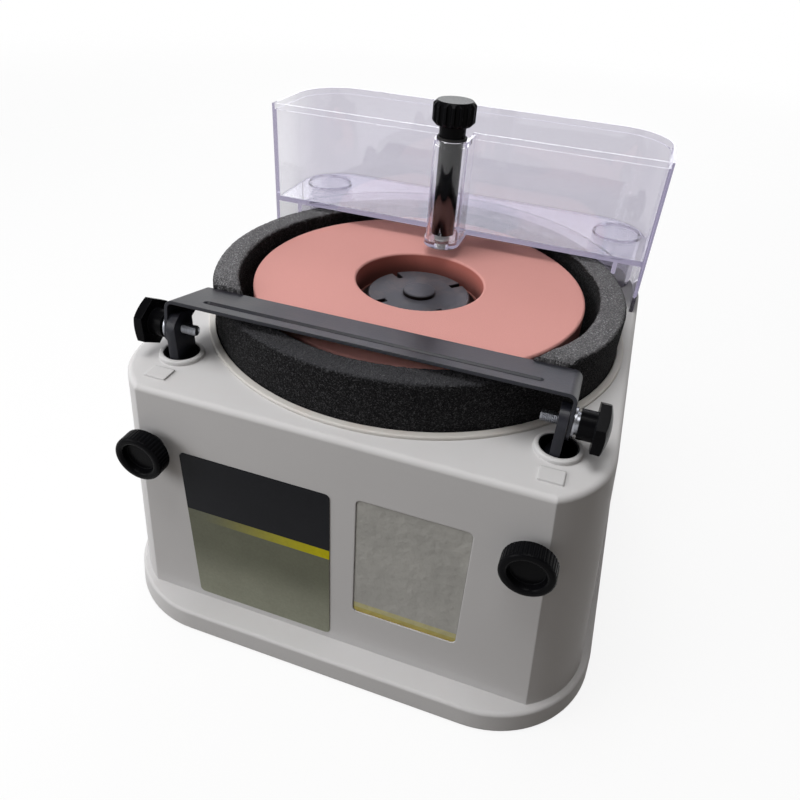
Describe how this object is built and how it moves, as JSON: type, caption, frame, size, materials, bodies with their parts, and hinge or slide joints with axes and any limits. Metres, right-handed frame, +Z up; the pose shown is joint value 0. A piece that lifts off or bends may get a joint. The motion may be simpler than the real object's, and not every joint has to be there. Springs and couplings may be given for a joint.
{
  "type": "wet grinding sharpener",
  "caption": "Bench sharpener with a flat wet whetstone on an upright spindle, a foam splash ring, a clear drip tank and a tilting guide bar on clamped posts.",
  "frame": {"origin": "on the wheel's axis, at the surface that the feet stand on", "axes": "+Z up along the wheel's axis, +Y to the tank at the back, +X to the right"},
  "size_m": [0.3142, 0.3134, 0.2962],
  "materials": {
    "shell_plastic": "satin moulded",
    "tub_plastic": "satin moulded",
    "sponge": "open-cell foam",
    "whetstone": "matte, fine grain",
    "hub_plastic": "satin",
    "black_steel": "semi-matte black",
    "black_plastic": "fine moulded grain",
    "zinc_steel": "bright zinc",
    "shaft_steel": "ground",
    "cast_alloy": "as cast",
    "winding": "varnished",
    "brass": "turned",
    "clear_plastic": "clear",
    "white_plastic": "satin",
    "grey_plastic": "satin",
    "black_rubber": "matte",
    "label_dark": "printed film, plain colour fields",
    "label_grey": "printed film, plain colour fields"
  },
  "bodies": {
    "machine_body": {"base_screws": "zinc_steel", "base_tray": "shell_plastic", "bearing_housing": "cast_alloy", "chassis_pillars": "zinc_steel", "chassis_plate": "zinc_steel", "chassis_screws": "zinc_steel", "cord_gland": "black_plastic", "drain_elbow": "black_plastic", "drive_belt": "black_rubber", "foam_ring": "sponge", "housing": "shell_plastic", "label_plate_left": "label_dark", "label_plate_right": "label_grey", "left_clamp_insert": "brass", "left_post_sleeve": "black_plastic", "lower_spindle_bearing": "shaft_steel", "motor_bearings": "shaft_steel", "motor_case": "shaft_steel", "motor_end_bells": "cast_alloy", "motor_stator": "winding", "right_clamp_insert": "brass", "right_post_sleeve": "black_plastic", "rubber_feet": "black_rubber", "run_capacitor": "grey_plastic", "spindle_seal": "black_rubber", "switch_frame": "black_plastic", "terminal_block": "white_plastic", "upper_spindle_bearing": "shaft_steel", "water_tub": "tub_plastic"},
    "wheel_group": {"spindle": "shaft_steel", "wheel_seat": "cast_alloy", "grinding_wheel": "whetstone", "wheel_retainer": "hub_plastic", "retainer_cap": "hub_plastic", "driven_pulley": "cast_alloy"},
    "motor_group": {"motor_rotor": "winding", "motor_shaft": "shaft_steel", "drive_pulley": "cast_alloy"},
    "posts": {"left_post": "black_steel", "right_post": "black_steel"},
    "bar": {"guide_bar": "black_steel"},
    "tank": {"water_tank": "clear_plastic", "drip_nozzle": "white_plastic"},
    "valve_slider": {"valve_washer": "black_rubber"},
    "valve_grip": {"valve_rod": "black_plastic", "valve_knob": "black_plastic"},
    "rocker": {"switch_rocker": "black_plastic"},
    "left_washer_set": {"left_angle_washers": "zinc_steel"},
    "left_angle_grip": {"left_angle_knob": "black_plastic", "left_angle_stud": "zinc_steel"},
    "left_clamp_pad": {"left_clamp_shoe": "brass"},
    "left_clamp_grip": {"left_clamp_knob": "black_plastic", "left_clamp_screw": "zinc_steel"},
    "right_washer_set": {"right_angle_washers": "zinc_steel"},
    "right_angle_grip": {"right_angle_knob": "black_plastic", "right_angle_stud": "zinc_steel"},
    "right_clamp_pad": {"right_clamp_shoe": "brass"},
    "right_clamp_grip": {"right_clamp_knob": "black_plastic", "right_clamp_screw": "zinc_steel"}
  },
  "joints": [
    {"name": "wheel_spin", "type": "hinge", "parent": "machine_body", "child": "wheel_group", "pos_m": [0, 0, 0.199], "axis": [0, 0, 1], "continuous": true},
    {"name": "motor_spin", "type": "hinge", "parent": "machine_body", "child": "motor_group", "pos_m": [0, 0.084, 0.1456], "axis": [0, 0, 1], "continuous": true},
    {"name": "rest_lift", "type": "slide", "parent": "machine_body", "child": "posts", "axis": [0, 0, 1], "range_m": [0, 0.03]},
    {"name": "bar_tilt", "type": "hinge", "parent": "posts", "child": "bar", "pos_m": [0, -0.1034, 0.193], "axis": [1, 0, 0], "range_deg": [0, 26]},
    {"name": "tank_lift", "type": "slide", "parent": "machine_body", "child": "tank", "axis": [0, 0, 1], "range_m": [0, 0.12]},
    {"name": "valve_rise", "type": "slide", "parent": "tank", "child": "valve_slider", "axis": [0, 0, 1], "range_m": [0, 0.003]},
    {"name": "valve_turn", "type": "hinge", "parent": "valve_slider", "child": "valve_grip", "pos_m": [0, 0.046, 0.2962], "axis": [0, 0, 1], "range_deg": [0, 360.01]},
    {"name": "switch_rock", "type": "hinge", "parent": "machine_body", "child": "rocker", "pos_m": [-0.14011, -0.05, 0.09571], "axis": [0, 1, 0], "range_deg": [0, 18]},
    {"name": "left_angle_travel", "type": "slide", "parent": "posts", "child": "left_washer_set", "axis": [-1, 0, 0], "range_m": [0, 0.002]},
    {"name": "left_angle_turn", "type": "hinge", "parent": "left_washer_set", "child": "left_angle_grip", "pos_m": [-0.1205, -0.1034, 0.193], "axis": [-1, 0, 0], "range_deg": [0, 720.01]},
    {"name": "left_clamp_travel", "type": "slide", "parent": "machine_body", "child": "left_clamp_pad", "axis": [0, -1, 0], "range_m": [0, 0.0025]},
    {"name": "left_clamp_turn", "type": "hinge", "parent": "left_clamp_pad", "child": "left_clamp_grip", "pos_m": [-0.1064, -0.155, 0.137], "axis": [0, -1, 0], "range_deg": [0, 720.01]},
    {"name": "right_angle_travel", "type": "slide", "parent": "posts", "child": "right_washer_set", "axis": [1, 0, 0], "range_m": [0, 0.002]},
    {"name": "right_angle_turn", "type": "hinge", "parent": "right_washer_set", "child": "right_angle_grip", "pos_m": [0.1205, -0.1034, 0.193], "axis": [1, 0, 0], "range_deg": [0, 720.01]},
    {"name": "right_clamp_travel", "type": "slide", "parent": "machine_body", "child": "right_clamp_pad", "axis": [0, -1, 0], "range_m": [0, 0.0025]},
    {"name": "right_clamp_turn", "type": "hinge", "parent": "right_clamp_pad", "child": "right_clamp_grip", "pos_m": [0.1064, -0.155, 0.137], "axis": [0, -1, 0], "range_deg": [0, 720.01]}
  ],
  "couplings": [
    {"joint": "motor_spin", "follows": "wheel_spin", "ratio": 3.3565},
    {"joint": "valve_turn", "follows": "valve_rise", "rad_per_m": 2094.4},
    {"joint": "left_angle_turn", "follows": "left_angle_travel", "rad_per_m": 6283.2},
    {"joint": "left_clamp_turn", "follows": "left_clamp_travel", "rad_per_m": 5026.5},
    {"joint": "right_angle_turn", "follows": "right_angle_travel", "rad_per_m": 6283.2},
    {"joint": "right_clamp_turn", "follows": "right_clamp_travel", "rad_per_m": 5026.5}
  ]
}
